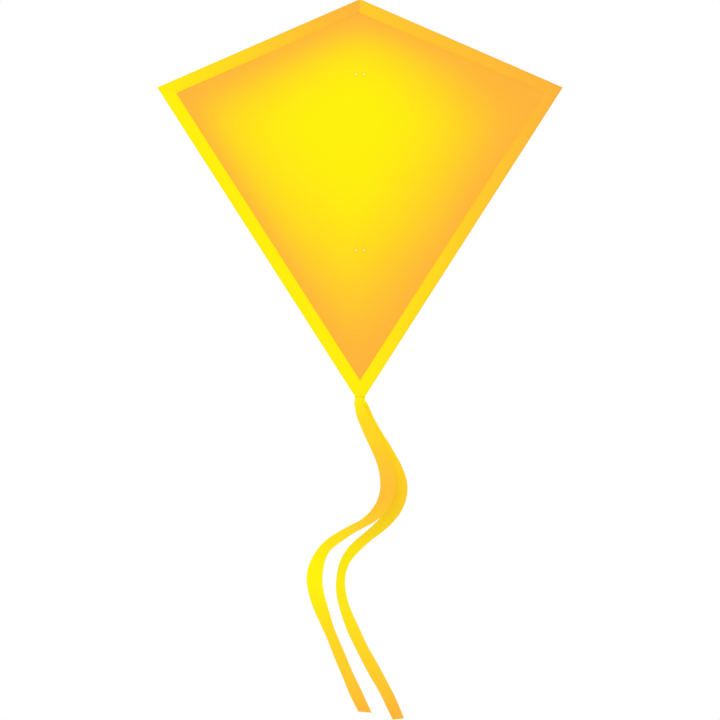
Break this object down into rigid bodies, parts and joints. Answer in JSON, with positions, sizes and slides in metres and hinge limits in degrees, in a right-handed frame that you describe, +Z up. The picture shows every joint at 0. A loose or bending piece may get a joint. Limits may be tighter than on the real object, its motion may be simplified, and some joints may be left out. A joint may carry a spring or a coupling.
{
  "type": "diamond kite",
  "caption": "Single-line diamond kite: a cloth sail with folded edge bindings on crossed rods, a turning cross joint and ribbon tails.",
  "frame": {"origin": "the upper bridle point: the middle of the sail cloth at the spine, level with the upper pair of eyelets", "axes": "+Z up the spine to the nose, -Y the way the sail faces, towards the flyer, with the rods behind at +Y, and +X to the right as the face is seen"},
  "size_m": [0.7618, 0.0781, 1.3485],
  "materials": {
    "sail_cloth": "printed ripstop, yellow shading to orange",
    "binding_cloth": "printed ripstop, folded and stitched",
    "patch_cloth": "coarse adhesive cloth",
    "pocket_web": "stitched webbing",
    "ribbon_cloth": "printed ripstop ribbon, cut with a hot knife",
    "rod_fibre": "pultruded glass fibre",
    "cap_vinyl": "dipped vinyl",
    "clip_nylon": "moulded nylon",
    "ring_rubber": "rubber",
    "eyelet_plastic": "moulded eyelet",
    "rivet_brass": "plain brass"
  },
  "bodies": {
    "frame": {"spine": "rod_fibre", "spine_nose_cap": "cap_vinyl", "spine_tail_cap": "cap_vinyl", "nose_pocket": "pocket_web", "tail_pocket": "pocket_web", "sail_center": "sail_cloth", "nose_binding": "binding_cloth", "tail_binding": "binding_cloth", "spine_clip": "clip_nylon", "spine_stop_rings": "ring_rubber", "upper_patch": "patch_cloth", "lower_patch": "patch_cloth", "upper_eyelets": "eyelet_plastic", "lower_eyelets": "eyelet_plastic", "tail_rivet": "rivet_brass"},
    "spreader": {"spreader": "rod_fibre", "spreader_left_cap": "cap_vinyl", "spreader_right_cap": "cap_vinyl", "spreader_clip": "clip_nylon", "spreader_stop_rings": "ring_rubber"},
    "left_wing": {"sail_left": "sail_cloth", "binding_upper_left": "binding_cloth", "binding_lower_left": "binding_cloth", "tip_pocket_left": "pocket_web"},
    "right_wing": {"sail_right": "sail_cloth", "binding_upper_right": "binding_cloth", "binding_lower_right": "binding_cloth", "tip_pocket_right": "pocket_web"},
    "tail_head": {"tail_strap": "ribbon_cloth"},
    "tails": {"ribbon_front": "ribbon_cloth", "ribbon_back": "ribbon_cloth"}
  },
  "joints": [
    {"name": "spreader_turn", "type": "hinge", "parent": "frame", "child": "spreader", "pos_m": [0, 0.0139, -0.024], "axis": [0, 1, 0], "range_deg": [0, 90]},
    {"name": "left_wing_fold", "type": "hinge", "parent": "frame", "child": "left_wing", "pos_m": [-0.016, 0, 0], "axis": [0, 0, 1], "range_deg": [0, 90], "deforming": ["tip_pocket_left"]},
    {"name": "right_wing_fold", "type": "hinge", "parent": "frame", "child": "right_wing", "pos_m": [0.016, 0, 0], "axis": [0, 0, -1], "range_deg": [0, 90], "deforming": ["tip_pocket_right"]},
    {"name": "tail_sway", "type": "hinge", "parent": "frame", "child": "tail_head", "pos_m": [0, 0.002, -0.5985], "axis": [0, 1, 0], "range_deg": [-30, 30]},
    {"name": "tail_swing", "type": "hinge", "parent": "tail_head", "child": "tails", "pos_m": [0, 0.002, -0.612], "axis": [1, 0, 0], "range_deg": [-70, 70]}
  ]
}
